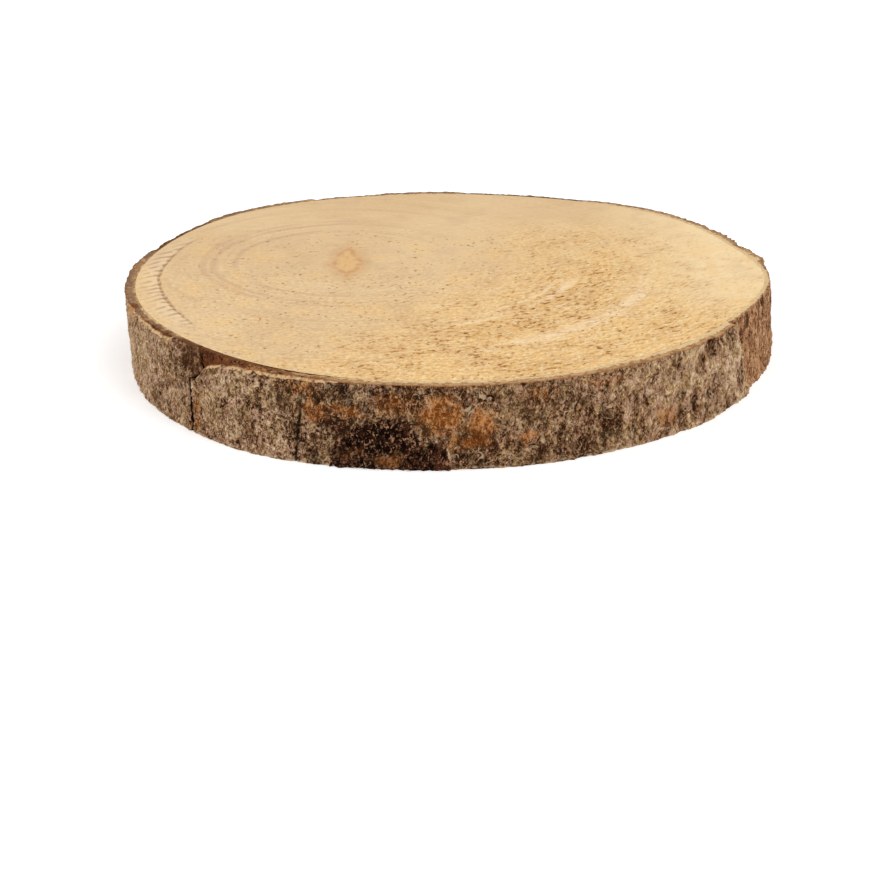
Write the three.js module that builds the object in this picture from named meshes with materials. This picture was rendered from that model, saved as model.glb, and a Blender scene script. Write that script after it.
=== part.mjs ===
// A slice of a tree trunk, lying flat: a sawn disc of wood with its bark still wrapped round it.
// Millimetres, +Z up along the trunk. The origin is the middle of the underside, -Y is the front.
// Angles are degrees round the trunk, counted from +X towards +Y.
import * as THREE from "three";
import { ImprovedNoise } from "three/addons/math/ImprovedNoise.js";
import { mergeVertices } from "three/addons/utils/BufferGeometryUtils.js";

// Driving dimensions of the slice
const THICKNESS = 31.5; // from saw cut to saw cut
const RADIUS = 125.2; // over the bark, before the swells below
const PITH = { x: -40, y: 23 }; // the growth centre, well off the middle

// Driving dimensions of the bark
const BARK_THIN = 3;
const BARK_THICK = 5.2;
const BARK_THICKEST_AT = 300;
const INNER_BARK = 1.7; // what stays on the wood where the outer bark has flaked off
const THINNEST_SKIN = 0.9; // the least bark left at the bottom of a hollow
const FIT_GAP = 0.3; // clearance between the wood and the bark that grew on it

// Where the trunk bulges or is flat: rise in millimetres, spread in degrees each way
const SWELLS = [
  { at: 5, spread: 12, rise: 2.8 },
  { at: 46, spread: 20, rise: 4.4 },
  { at: 131, spread: 22, rise: 4.2 },
  { at: 244, spread: 19, rise: 2.4 },
  { at: 308, spread: 19, rise: -3.9 },
  { at: 335, spread: 15, rise: -3.8 },
];

// How far the foot of the wall stands out from its head, fading to nothing at the upper cut
const FOOT_SWELLS = [
  { at: 187, spread: 15, rise: -2.2 },
  { at: 236, spread: 18, rise: 3 },
  { at: 70, spread: 30, rise: 1.6 },
];

// The one split that runs through the bark from cut to cut: [height, angle] down its zigzag
const SPLIT = [
  [0, 222.3],
  [19.5, 221],
  [22.8, 223.8],
  [THICKNESS, 222],
];
const SPLIT_WIDTH = 1.3;
const SPLIT_REACH = 0.1; // share of the way round over which the bark's columns lean with the split

// The broken upper edge of the outer bark: [angle, height]. The inner bark goes on up to the saw cut.
const BROKEN_EDGE = [
  [0, 32],
  [58, 32],
  [66, 28.6],
  [84, 27.2],
  [90, 32],
  [138, 32],
  [141, 30.2],
  [160, 29.8],
  [168, 32],
  [203, 32],
  [208, 30.4],
  [214, 30.6],
  [217, 29.4],
  [219.5, 23.4],
  [223.8, 21.8],
  [225, 25.6],
  [227.4, 27.6],
  [231, 29.4],
  [238, 30.1],
  [250, 30.9],
  [255, 32],
  [360, 32],
];

// Patches where the outer bark is gone over the whole height: angles at the upper cut, and how much
// narrower the patch is at its foot, on both sides together
const BARE_PATCHES = [
  { from: 332, to: 372, taper: 14 },
  { from: 103, to: 117, taper: 4 },
];
const PATCH_EDGE = 1.2; // degrees over which the outer bark ends

// Where dry bark has pulled away from the wood at the upper cut
const STANDOFF = { at: 243, spread: 9, gap: 1 };

// The crusted burr low on the front
const BURR = { at: 261, spread: 8.5, height: 5, tall: 13, rise: 1.5 };

// Relief of the bark: vertical plates with furrows between them, and finer knobs on top. The crest is the
// share of the depth that stands above the smooth trunk.
const PLATES = { pitch: 11, length: 42, depth: 2.2, crest: 0.24 };
const KNOBS = { pitch: 5, length: 9, depth: 0.9 };
const SHREDS = { pitch: 4, length: 30, depth: 1.1 }; // the torn face of the inner bark

// Fineness of the mesh
const WOOD_COLUMNS = 160;
const WALL_ROWS = 14;
const BARK_COLUMNS = 310;
const ROW_GRADING = 1.35; // above 1 the rows crowd towards the upper edge, where the bark is broken
const MERGE_WITHIN = 1e-5;

const WOOD_COLOUR = 0xe0bd8a;
const BARK_COLOUR = 0x6b543f;

const { degToRad, radToDeg, euclideanModulo, clamp, lerp, smoothstep } = THREE.MathUtils;
const perlin = new ImprovedNoise();

// The signed angle from b to a, between -180 and 180 degrees.
const turnFrom = (a, b) => euclideanModulo(a - b + 180, 360) - 180;

// A smooth hump that is 1 at its own angle and dies away over its spread.
const hump = (angle, { at, spread }) => Math.exp(-((turnFrom(angle, at) / spread) ** 2));

// The value at x along a list of [x, value] corners joined by straight lines.
function along(corners, x) {
  const next = corners.findIndex(([position]) => position >= x);
  if (next <= 0) return corners[next < 0 ? corners.length - 1 : 0][1];
  const [x0, y0] = corners[next - 1];
  const [x1, y1] = corners[next];
  return lerp(y0, y1, (x - x0) / (x1 - x0));
}

// Radius of the trunk over smooth bark.
function trunkRadius(angle, height) {
  const swollen = SWELLS.reduce((sum, s) => sum + s.rise * hump(angle, s), RADIUS);
  const foot = FOOT_SWELLS.reduce((sum, s) => sum + s.rise * hump(angle, s), 0);
  return swollen + foot * (1 - height / THICKNESS);
}

// Thickness of whole bark, thin on one side of the trunk and thick on the other.
function barkThickness(angle) {
  const share = (1 + Math.cos(degToRad(angle - BARK_THICKEST_AT))) / 2;
  return lerp(BARK_THIN, BARK_THICK, share);
}

const woodRadius = (angle, height) => trunkRadius(angle, height) - barkThickness(angle) - FIT_GAP;

// Noise between about -1 and 1 on the trunk's surface, drawn out along the trunk.
function barkNoise(angle, height, { pitch, length }) {
  const x = (RADIUS / pitch) * Math.cos(degToRad(angle));
  const y = (RADIUS / pitch) * Math.sin(degToRad(angle));
  return perlin.noise(x, y, height / length);
}

// How much of the outer bark is there: 1 where it is whole, 0 where only the inner bark is left.
function outerBark(angle, height) {
  const underEdge = height < along(BROKEN_EDGE, euclideanModulo(angle, 360)) ? 1 : 0;
  return BARE_PATCHES.reduce((left, { from, to, taper }) => {
    const middle = (from + to) / 2;
    const width = to - from - taper * (1 - height / THICKNESS);
    const past = Math.abs(turnFrom(angle, middle)) - width / 2;
    return left * smoothstep(past, -PATCH_EDGE, PATCH_EDGE);
  }, underEdge);
}

// Height of the bark's face above the wood, at least a thin skin.
function barkDepth(angle, height) {
  const plates = PLATES.depth * (PLATES.crest - Math.abs(barkNoise(angle, height, PLATES)));
  const knobs = KNOBS.depth * barkNoise(angle, height, KNOBS);
  const shreds = SHREDS.depth * barkNoise(angle, height, SHREDS);
  const burrAcross = hump(angle, BURR);
  const burrUp = Math.exp(-(((height - BURR.height) / BURR.tall) ** 2));
  const whole = barkThickness(angle) + plates + knobs + BURR.rise * burrAcross * burrUp;
  const depth = lerp(INNER_BARK + shreds, whole, outerBark(angle, height));
  return Math.max(depth, THINNEST_SKIN);
}

// Gap between the wood and the back of the bark.
function barkBack(angle, height) {
  return FIT_GAP + STANDOFF.gap * hump(angle, STANDOFF) * (height / THICKNESS);
}

// Keeps only the positions of a geometry and joins the vertices that coincide, so that it closes.
function closedGeometry(geometry) {
  geometry.deleteAttribute("normal");
  geometry.deleteAttribute("uv");
  return mergeVertices(geometry, MERGE_WITHIN);
}

// Moves every vertex of a geometry to where the rule sends it, then finds the new normals.
function reshape(geometry, rule) {
  const positions = geometry.getAttribute("position");
  const point = new THREE.Vector3();
  for (let i = 0; i < positions.count; i += 1) {
    rule(point.fromBufferAttribute(positions, i));
    positions.setXYZ(i, point.x, point.y, point.z);
  }
  geometry.computeVertexNormals();
  return geometry;
}

// Puts a point on the trunk, by its distance from the axis, angle and height.
function setPolar(point, radius, angle, height) {
  point.set(radius * Math.cos(degToRad(angle)), radius * Math.sin(degToRad(angle)), height);
}

// The wood: a cylinder of unit radius whose wall is pushed out to the trunk's outline.
// The middles of its two cuts go to the pith.
function woodGeometry() {
  const cylinder = new THREE.CylinderGeometry(1, 1, THICKNESS, WOOD_COLUMNS, 1);
  cylinder.rotateX(Math.PI / 2).translate(0, 0, THICKNESS / 2);
  return reshape(closedGeometry(cylinder), (point) => {
    const height = clamp(point.z, 0, THICKNESS);
    if (Math.hypot(point.x, point.y) < 0.5) {
      point.set(PITH.x, PITH.y, height);
      return;
    }
    const angle = radToDeg(Math.atan2(point.y, point.x));
    setPolar(point, woodRadius(angle, height), angle, height);
  });
}

// The bark's section before it is wrapped: x runs from its back at 0 to its face at 1, y from cut to cut.
function barkSection() {
  const rows = Array.from({ length: WALL_ROWS + 1 }, (_, i) => i / WALL_ROWS);
  const face = rows.map((share) => new THREE.Vector2(1, 1 - (1 - share) ** ROW_GRADING));
  return new THREE.Shape([new THREE.Vector2(0, 0), ...face, new THREE.Vector2(0, 1)]);
}

// The bark: a straight strip of that section, wrapped once round the wood from one side of the split to
// the other. It runs clockwise seen from above, which keeps its faces pointing out.
function barkGeometry() {
  const strip = new THREE.ExtrudeGeometry(barkSection(), {
    depth: 1,
    steps: BARK_COLUMNS,
    bevelEnabled: false,
  });
  const splitTurn = radToDeg(SPLIT_WIDTH / RADIUS);
  const start = along(SPLIT, THICKNESS);
  return reshape(closedGeometry(strip), (point) => {
    const { x: across, z: way } = point;
    const height = point.y * THICKNESS;
    const nearSplit = 1 - smoothstep(Math.min(way, 1 - way), 0, SPLIT_REACH);
    const lean = (along(SPLIT, height) - start) * nearSplit;
    const angle = start - splitTurn / 2 - way * (360 - splitTurn) + lean;
    const back = woodRadius(angle, height) + barkBack(angle, height);
    const face = woodRadius(angle, height) + FIT_GAP + barkDepth(angle, height);
    setPolar(point, across > 0.5 ? Math.max(face, back + THINNEST_SKIN) : back, angle, height);
  });
}

function sawnWood() {
  const material = new THREE.MeshStandardMaterial({ color: WOOD_COLOUR, roughness: 0.85, metalness: 0 });
  const mesh = new THREE.Mesh(woodGeometry(), material);
  mesh.name = "wood_disc";
  return mesh;
}

function bark() {
  const material = new THREE.MeshStandardMaterial({ color: BARK_COLOUR, roughness: 0.95, metalness: 0 });
  const mesh = new THREE.Mesh(barkGeometry(), material);
  mesh.name = "bark";
  return mesh;
}

// Stands the slice on its underside with the middle of its outline at the origin.
function woodSlice() {
  const slice = new THREE.Group();
  slice.add(sawnWood(), bark());
  const box = new THREE.Box3().setFromObject(slice, true);
  const middle = box.getCenter(new THREE.Vector3());
  slice.position.set(-middle.x, -middle.y, -box.min.z);
  return slice;
}

export default woodSlice();
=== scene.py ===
# %% [markdown]
# # A slice of tree trunk
# This lesson dresses a plain CAD model of a sawn slice of trunk: a disc of pale wood with rough bark
# round its rim. The CAD model fixes the size and the outline. Here each of its two pieces gets a
# finer mesh of the same shape and a procedural finish. The frame is read first, because every later
# number is measured against it. Sizes are in millimetres, and a finished mesh is scaled to metres.

# %% Load the fixed frame
import math
from types import SimpleNamespace

import bmesh
import bpy
import numpy as np
from mathutils import Matrix, Vector, noise


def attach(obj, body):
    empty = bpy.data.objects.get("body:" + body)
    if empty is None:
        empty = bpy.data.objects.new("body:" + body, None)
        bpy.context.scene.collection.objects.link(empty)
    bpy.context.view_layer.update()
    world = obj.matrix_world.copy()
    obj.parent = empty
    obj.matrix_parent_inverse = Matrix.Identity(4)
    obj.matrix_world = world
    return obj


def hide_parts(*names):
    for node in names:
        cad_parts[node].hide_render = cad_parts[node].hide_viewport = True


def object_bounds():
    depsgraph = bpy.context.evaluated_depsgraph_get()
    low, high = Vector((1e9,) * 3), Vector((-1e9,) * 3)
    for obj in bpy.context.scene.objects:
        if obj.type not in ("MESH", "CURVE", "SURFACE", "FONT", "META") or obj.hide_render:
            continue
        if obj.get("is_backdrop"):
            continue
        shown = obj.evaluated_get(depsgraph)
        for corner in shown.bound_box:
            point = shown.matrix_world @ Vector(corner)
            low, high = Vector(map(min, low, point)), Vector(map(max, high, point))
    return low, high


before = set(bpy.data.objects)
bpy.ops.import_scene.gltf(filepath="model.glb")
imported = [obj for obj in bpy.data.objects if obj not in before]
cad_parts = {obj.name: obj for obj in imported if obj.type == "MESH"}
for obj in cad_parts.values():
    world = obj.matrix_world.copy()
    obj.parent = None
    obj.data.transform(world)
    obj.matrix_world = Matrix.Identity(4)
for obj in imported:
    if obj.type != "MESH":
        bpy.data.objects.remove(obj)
cad_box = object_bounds()
MM = 0.001
THICKNESS = cad_box[1].z / MM
print(f"slice {THICKNESS:.1f} mm thick, {(cad_box[1].x - cad_box[0].x) / MM:.0f} mm across")

# %% [markdown]
# The camera comes next, so that each later step can be judged in the same view. A long lens from
# a good metre away looks down at twenty degrees: the whole cut face shows as a flat ellipse, and the
# bark of the near half below it. The slice lies high in the frame.

# %% Camera
CAMERA_EYE = Vector((-4.6, -1194.4, 403.3))
CAMERA_PITCH = 20.14  # degrees below the horizon
FOCAL_LENGTH = 131.8  # on Blender's usual 36 mm sensor

camera_data = bpy.data.cameras.new("camera")
camera_data.lens = FOCAL_LENGTH
camera = bpy.data.objects.new("camera", camera_data)
camera.location = CAMERA_EYE * MM
camera.rotation_euler = (math.radians(90 - CAMERA_PITCH), 0, 0)
bpy.context.scene.collection.objects.link(camera)
bpy.context.scene.camera = camera
print(f"camera {CAMERA_EYE.length * MM:.2f} m from the slice")

# %% [markdown]
# Soft light suits a matt surface: a white sky fills every shadow, a large lamp above the right
# shoulder gives the bark its relief, and a smaller one from the left keeps that side open. The
# Standard view shows colours as they are set, without a film curve.

# %% Light
SKY_STRENGTH = 0.72
LAMPS = {
    "key_lamp": {"at": (500, -500, 1100), "width": 900, "power": 5},
    "fill_lamp": {"at": (-900, -700, 600), "width": 700, "power": 2},
}


def add_lamp(name, at, width, power):
    """A square soft lamp that points at the middle of the slice."""
    data = bpy.data.lights.new(name, "AREA")
    data.size = width * MM
    data.energy = power
    lamp = bpy.data.objects.new(name, data)
    lamp.location = Vector(at) * MM
    lamp.rotation_euler = (-lamp.location).to_track_quat("-Z", "Y").to_euler()
    bpy.context.scene.collection.objects.link(lamp)


for lamp_name, lamp_setting in LAMPS.items():
    add_lamp(lamp_name, **lamp_setting)
world = bpy.data.worlds.new("white_sky")
world.use_nodes = True
sky = world.node_tree.nodes["Background"]
sky.inputs["Color"].default_value = (1, 1, 1, 1)
sky.inputs["Strength"].default_value = SKY_STRENGTH
bpy.context.scene.world = world
bpy.context.scene.view_settings.view_transform = "Standard"
print(f"{len(LAMPS)} lamps under a white sky")

# %% [markdown]
# The slice lies on a white floor, which catches its shadow. The floor glows a little, so that it stays
# white right up to the horizon.

# %% Floor
FLOOR_WIDTH = 12000
FLOOR_COLOUR = (0.9, 0.9, 0.9, 1)
FLOOR_ROUGHNESS = 0.9
FLOOR_GLOW = 0.4

floor_mesh = bmesh.new()
bmesh.ops.create_grid(floor_mesh, x_segments=1, y_segments=1, size=FLOOR_WIDTH * MM / 2)
floor = bpy.data.objects.new("floor", bpy.data.meshes.new("floor"))
floor_mesh.to_mesh(floor.data)
floor_mesh.free()
floor_paint = bpy.data.materials.new("pale_floor")
floor_paint.use_nodes = True
floor_shader = floor_paint.node_tree.nodes["Principled BSDF"]
floor_shader.inputs["Base Color"].default_value = FLOOR_COLOUR
floor_shader.inputs["Roughness"].default_value = FLOOR_ROUGHNESS
floor_shader.inputs["Emission Color"].default_value = FLOOR_COLOUR
floor_shader.inputs["Emission Strength"].default_value = FLOOR_GLOW
floor.data.materials.append(floor_paint)
bpy.context.scene.collection.objects.link(floor)
floor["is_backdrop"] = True
print(f"floor {FLOOR_WIDTH * MM:.0f} m wide")

# %% [markdown]
# A few small helpers do the sums of the whole lesson: values between two others, smooth rises, and
# tables whose corners are joined by straight lines. A place on the trunk is given by its angle and
# its distance round the trunk's axis, and by its height. Angles count from the right, turning left as
# seen from above.

# %% Helpers for sums and places
TRUNK_AXIS = Vector((-0.92, 0.2))


def lerp(start, end, share):
    """The value that lies that share of the way from start to end."""
    return start + (end - start) * share


def ease(value, low, high):
    """A smooth rise from 0 at low to 1 at high, or a fall where low is the larger."""
    share = min(max((value - low) / (high - low), 0), 1)
    return share * share * (3 - 2 * share)


def table(*corners):
    """The places and the values of (place, value) corners, to be read with along."""
    return np.array(corners, dtype=float).T


def along(corners, place):
    """The value at a place along a table whose corners are joined by straight lines."""
    return float(np.interp(place, *corners))


def turn_from(angle, other):
    """The signed turn from one angle to another, between -180 and 180 degrees."""
    return (angle - other + 180) % 360 - 180


def polar(angle, radius, height):
    """A point of the trunk, by its angle, its distance from the axis and its height."""
    turn = math.radians(angle)
    x = TRUNK_AXIS.x + radius * math.cos(turn)
    y = TRUNK_AXIS.y + radius * math.sin(turn)
    return Vector((x, y, height))


def angle_of(point):
    """The angle of a point round the trunk's axis."""
    return math.degrees(math.atan2(point.y - TRUNK_AXIS.y, point.x - TRUNK_AXIS.x)) % 360


def radius_of(point):
    """The distance of a point from the trunk's axis."""
    return math.hypot(point.x - TRUNK_AXIS.x, point.y - TRUNK_AXIS.y)


print(f"trunk axis at {TRUNK_AXIS.x:.2f}, {TRUNK_AXIS.y:.2f} mm")

# %% [markdown]
# The outline of the wood is measured on the CAD node, at its upper and lower edge, as a radius for
# each angle. The one vertex inside the rim of the cut is the pith, where the tree began to grow, and
# here it lies well off the middle. Between the two edges the wall of the wood is straight.

# %% Measure the wood's outline
PITH_WITHIN = 60  # the pith is nearer the axis than this, and the rim further
SAME_HEIGHT = 0.01


def measured_rim(spots, height):
    """The angles and radii of the corners of an edge at one height, with one turn to spare each way."""
    edge = [s for s in spots if abs(s.z - height) < SAME_HEIGHT and radius_of(s) > PITH_WITHIN]
    corners = sorted({round(angle_of(s), 3): radius_of(s) for s in edge}.items())
    angles, radii = np.array(corners).T
    return np.concatenate([angles - 360, angles, angles + 360]), np.tile(radii, 3)


wood_spots = [vertex.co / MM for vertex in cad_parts["wood_disc"].data.vertices]
LOWER_RIM = measured_rim(wood_spots, 0)
UPPER_RIM = measured_rim(wood_spots, THICKNESS)
PITH = next(s.xy for s in wood_spots if radius_of(s) < PITH_WITHIN)


def wood_radius(angle, height):
    """Distance of the wood's wall from the axis, straight from the lower edge to the upper one."""
    low = np.interp(angle, *LOWER_RIM)
    high = np.interp(angle, *UPPER_RIM)
    return float(lerp(low, high, height / THICKNESS))


print(f"wood rim of {len(UPPER_RIM[0]) // 3} corners, pith at {PITH.x:.1f}, {PITH.y:.1f} mm")

# %% [markdown]
# Every finish below is a network of shader nodes. Written as Python sums it stays readable: one
# small class wraps an output socket, and its operators add Math nodes. Its node method makes any
# other node from its type, its settings and its inputs, and vectors have two short methods on top of
# it. Colours are given as they look on a screen, from 0 to 255, and turned into the linear values
# that Blender works with.

# %% Shader sums as Python sums
class Wire:
    """An output socket of a material. Arithmetic on it adds Math nodes."""

    def __init__(self, tree, socket):
        self.tree = tree
        self.socket = socket

    def node(self, kind, settings, inputs, output=0):
        """Adds a node: its settings first, then the values or wires of its input sockets."""
        made = self.tree.nodes.new(kind)
        for name, value in settings.items():
            setattr(made, name, value)
        for name, value in inputs.items():
            if isinstance(value, Wire):
                self.tree.links.new(value.socket, made.inputs[name])
            else:
                made.inputs[name].default_value = value
        return Wire(self.tree, made.outputs[output])

    def math(self, operation, first, second=0.0):
        """A Math node on one or two values."""
        return self.node("ShaderNodeMath", {"operation": operation}, {0: first, 1: second})

    def __add__(self, other):
        return self.math("ADD", self, other)

    def __sub__(self, other):
        return self.math("SUBTRACT", self, other)

    def __rsub__(self, other):
        return self.math("SUBTRACT", other, self)

    def __mul__(self, other):
        return self.math("MULTIPLY", self, other)

    def __abs__(self):
        return self.math("ABSOLUTE", self)

    __radd__ = __add__
    __rmul__ = __mul__

    def vector(self, operation, *others, output=0):
        """This vector and the others, joined by a Vector Math node."""
        inputs = dict(enumerate((self, *others)))
        return self.node("ShaderNodeVectorMath", {"operation": operation}, inputs, output)

    def part(self, axis):
        """One coordinate of this vector."""
        return self.node("ShaderNodeSeparateXYZ", {}, {0: self}, output=axis)

    def rise(self, low, high):
        """A smooth rise from 0 at low to 1 at high, or a fall where low is the larger."""
        settings = {"interpolation_type": "SMOOTHSTEP"}
        return self.node("ShaderNodeMapRange", settings, {"Value": self, 1: low, 2: high})

    def mix(self, under, over):
        """The colour under, with the colour over laid on it where this mask is 1."""
        return self.node("ShaderNodeMix", {"data_type": "RGBA"}, {0: self, 6: under, 7: over}, output=2)


def paint(red, green, blue):
    """A colour as seen on a screen, as the linear colour of a socket."""
    shares = (channel / 255 for channel in (red, green, blue))
    linear = (s / 12.92 if s <= 0.04045 else ((s + 0.055) / 1.055) ** 2.4 for s in shares)
    return (*linear, 1.0)


print("shader sums ready")

# %% [markdown]
# A few helpers are shared by both finishes. A new material hands back its place on the piece in
# millimetres, and an attribute is a number that the mesh carries from vertex to vertex. A cloud is
# soft noise whose features have a given pitch, along each axis its own if they are drawn out. The last
# helper closes a material: colour and roughness go to the shader, and the fine relief, in
# millimetres, goes through a Bump node.

# %% Material helpers
SEED_STEP = (37.0, 71.0, 113.0)  # how far apart two seeds look into the same noise, in pitches


def new_material(name):
    """A new material, and the wire of its place in millimetres."""
    material = bpy.data.materials.new(name)
    material.use_nodes = True
    tree = material.node_tree
    place = Wire(tree, tree.nodes.new("ShaderNodeTexCoord").outputs["Object"])
    scale = {"operation": "SCALE"}
    return material, place.node("ShaderNodeVectorMath", scale, {0: place, "Scale": 1 / MM})


def attribute(place, name):
    """The wire of a number that the mesh carries at each vertex."""
    return place.node("ShaderNodeAttribute", {"attribute_name": name}, {}, output="Fac")


def fitted(place, pitch, turn, seed):
    """The place measured in pitches along axes turned by that angle."""
    pitches = pitch if isinstance(pitch, tuple) else (pitch,) * 3
    inputs = {"Vector": place, "Scale": pitches, "Rotation": (0, 0, math.radians(turn))}
    inputs["Location"] = tuple(step * seed for step in SEED_STEP)
    return place.node("ShaderNodeMapping", {"vector_type": "TEXTURE"}, inputs)


def cloud(place, pitch, seed=0, detail=0.0, roughness=0.5, distortion=0.0):
    """Soft noise around 0.5, with features of that pitch in millimetres."""
    inputs = {"Vector": fitted(place, pitch, 0, seed), "Scale": 1.0}
    inputs.update({"Detail": detail, "Roughness": roughness, "Distortion": distortion})
    return place.node("ShaderNodeTexNoise", {}, inputs, output="Fac")


def close_material(material, colour, roughness, relief, shine):
    """Joins colour, roughness and relief in millimetres to the material's shader, and sets its shine."""
    shader = material.node_tree.nodes["Principled BSDF"]
    shader.inputs["Specular IOR Level"].default_value = shine
    bump = relief.node("ShaderNodeBump", {}, {"Height": relief, "Distance": MM}, output="Normal")
    links = material.node_tree.links
    links.new(colour.socket, shader.inputs["Base Color"])
    links.new(roughness.socket, shader.inputs["Roughness"])
    links.new(bump.socket, shader.inputs["Normal"])
    print(f"{material.name}: {len(material.node_tree.nodes)} nodes")


print("material helpers ready")

# %% [markdown]
# The sawn face could be a flat disc with a bumpy finish, but a close view would give it away. It is
# a square grid instead, wrapped so that its square loops become rings from the pith to the wall, all
# with cells of like size. Each vertex can then be lowered a little where the saw tore the fibres.

# %% Wrap a square grid to the sawn face
UPPER_CELLS = 268
LOWER_CELLS = 128
WOOD_LAYERS = ("ring", "check", "checked", "rough")
TIGHT = 0.1  # the wood is drawn this much wider than the solid, so that hardly a gap shows to the bark


def square_angle(x, y):
    """The angle of a point of a square loop, spread evenly over the four sides."""
    if abs(x) >= abs(y):
        return 45 * y / x + (0 if x > 0 else 180)
    return 90 - 45 * x / y + (0 if y > 0 else 180)


def add_sawn_face(bm, face_cells, height):
    """Adds a round face at one height, whose vertices carry their share of the way from the pith."""
    made = bmesh.ops.create_grid(bm, x_segments=face_cells, y_segments=face_cells, size=1)
    middle = Vector((*PITH, height))
    for vertex in made["verts"]:
        x, y, _ = vertex.co
        share = max(abs(x), abs(y))
        angle = square_angle(x, y) if share > 0 else 0
        vertex[wood_layer["ring"]] = share
        vertex.co = middle.lerp(polar(angle, wood_radius(angle, height) + TIGHT, height), share)
    return made["verts"]


wood = bmesh.new()
wood_layer = {name: wood.verts.layers.float.new(name) for name in WOOD_LAYERS}
upper_face = add_sawn_face(wood, UPPER_CELLS, THICKNESS)
lower_face = add_sawn_face(wood, LOWER_CELLS, 0)
rims = [edge for edge in wood.edges if edge.is_boundary]
bmesh.ops.bridge_loops(wood, edges=rims)
for edge in rims:
    edge.smooth = False
bmesh.ops.recalc_face_normals(wood, faces=wood.faces)
print(f"sawn wood: {len(wood.verts)} vertices, {len(wood.faces)} faces")

# %% [markdown]
# A check is a crack that opens as wood dries. The one on this face runs along a ring near the left
# rim. Its distance is stored on the vertices, because a smooth distance can be drawn as a line finer
# than the mesh.

# %% The check in the sawn face
# Angle and radius along the check, then angle and how far it is open there
CHECK = table((148, 116.5), (153, 116), (165, 114.3), (177, 113.3), (183.5, 112), (191.5, 110.8),
              (203, 109.6), (211, 110.6), (216, 112))
CHECK_OPEN = table((0, 0), (149, 0), (156, 0.6), (166, 1), (203, 1), (214, 0), (360, 0))
CHECK_DEPTH = 0.45
CHECK_WIDTH = 0.9


def check_distance(point):
    """Distance outward from the check in millimetres."""
    return radius_of(point) - along(CHECK, angle_of(point))


def check_depth(point):
    """How far the check lowers a point of the sawn face."""
    crack = math.exp(-((check_distance(point) / CHECK_WIDTH) ** 2)) * along(CHECK_OPEN, angle_of(point))
    return CHECK_DEPTH * crack


print(f"check from {CHECK[0][0]:.0f} to {CHECK[0][-1]:.0f} degrees, {CHECK_DEPTH} mm deep")

# %% [markdown]
# The saw left straight scores, and tore the wood more on the side that was cut last. Both lower the
# vertices of the face by a fraction of a millimetre. How torn the wood is goes to the finish as well,
# which draws the single fibres.

# %% Lower the face along the saw scores
SAW_DIRECTION = 37  # of the saw's scores, in degrees from the right
SCORE_PITCH = (60, 2.6)  # along the scores and across them
SCORE_DEPTH = 0.08
TEAR_PITCH = (5, 1.7)
TEAR_DEPTH = 0.22
LEAST_TEAR = 0.25
TEAR_HEADING = (0.82, -0.57)  # the way in which the tearing gets worse
TEAR_RISE = (-15, 55)  # the distances that way between which it sets in
BACK_FADE = (20, 85)  # the distances towards the back between which it weakens
BACK_LOSS = 0.6
BACK_PATCH = {"strength": 0.45, "right": (5, 35), "back": (88, 62)}  # torn a little too, behind the middle
UNDERSIDE_PITCH = 3


def ragged_noise(place, fade=0.8, layers=3):
    """Noise in several layers, each twice as fine as the one before."""
    return noise.fractal(place, fade, 2.0, layers)


def roughness_of(point):
    """How torn the sawn face is: 0 at the left and the back, 1 at the right and the front."""
    across = TEAR_HEADING[0] * point.x + TEAR_HEADING[1] * point.y
    torn = ease(across, *TEAR_RISE) * (1 - BACK_LOSS * ease(point.y, *BACK_FADE))
    patch = BACK_PATCH["strength"] * ease(point.x, *BACK_PATCH["right"]) * ease(point.y, *BACK_PATCH["back"])
    return max(torn, patch)


def saw_depth(point):
    """How far a point of the sawn face lies below the flat cut."""
    turned = Matrix.Rotation(math.radians(-SAW_DIRECTION), 3, "Z") @ point
    score = noise.noise(Vector((turned.x / SCORE_PITCH[0], turned.y / SCORE_PITCH[1], 0)))
    tear = ragged_noise(Vector((turned.x / TEAR_PITCH[0], turned.y / TEAR_PITCH[1], 3)))
    torn = TEAR_DEPTH * lerp(LEAST_TEAR, 1, roughness_of(point)) * (0.5 + 0.5 * tear)
    return SCORE_DEPTH * (0.5 + 0.5 * score) + max(torn, 0) + check_depth(point)


for vertex in upper_face:
    vertex[wood_layer["check"]] = check_distance(vertex.co)
    vertex[wood_layer["checked"]] = along(CHECK_OPEN, angle_of(vertex.co))
    vertex[wood_layer["rough"]] = roughness_of(vertex.co)
    vertex.co.z -= saw_depth(vertex.co)
for vertex in lower_face:
    vertex[wood_layer["rough"]] = roughness_of(vertex.co)
    vertex.co.z += SCORE_DEPTH * (1 + noise.noise(vertex.co / UNDERSIDE_PITCH))
print(f"saw scores at {SAW_DIRECTION} degrees, {len(WOOD_LAYERS)} numbers kept on each vertex")

# %% [markdown]
# A bmesh becomes a piece in one small function, used for the wood and for the bark: it is scaled to
# metres, smooth shaded and tied to the frame's only body, and the CAD node it stands for is hidden.

# %% Turn a mesh into a piece
def finish_piece(bm, name, node, material):
    """Makes the piece that stands for a CAD node, in metres, at the origin."""
    bmesh.ops.scale(bm, vec=(MM, MM, MM), verts=bm.verts)
    for face in bm.faces:
        face.smooth = True
    piece = bpy.data.objects.new(name, bpy.data.meshes.new(name))
    bm.to_mesh(piece.data)
    bm.free()
    piece.data.materials.append(material)
    bpy.context.scene.collection.objects.link(piece)
    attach(piece, "root")
    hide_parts(node)
    triangles = sum(len(polygon.vertices) - 2 for polygon in piece.data.polygons)
    print(f"{name}: {triangles} triangles")


print(f"pieces will stand for {len(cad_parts)} CAD nodes")

# %% [markdown]
# The finish of the sawn face starts from how the tree grew. Growth rings are circles round the pith.
# On the left they are soft grey bands, and on the right a few are pale streaks. All of them are read
# from one wire, the distance from the pith, which a slow noise bends a little. The saw's marks need a
# wire too: a place measured along the shallow arcs in which the blade went through.

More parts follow.
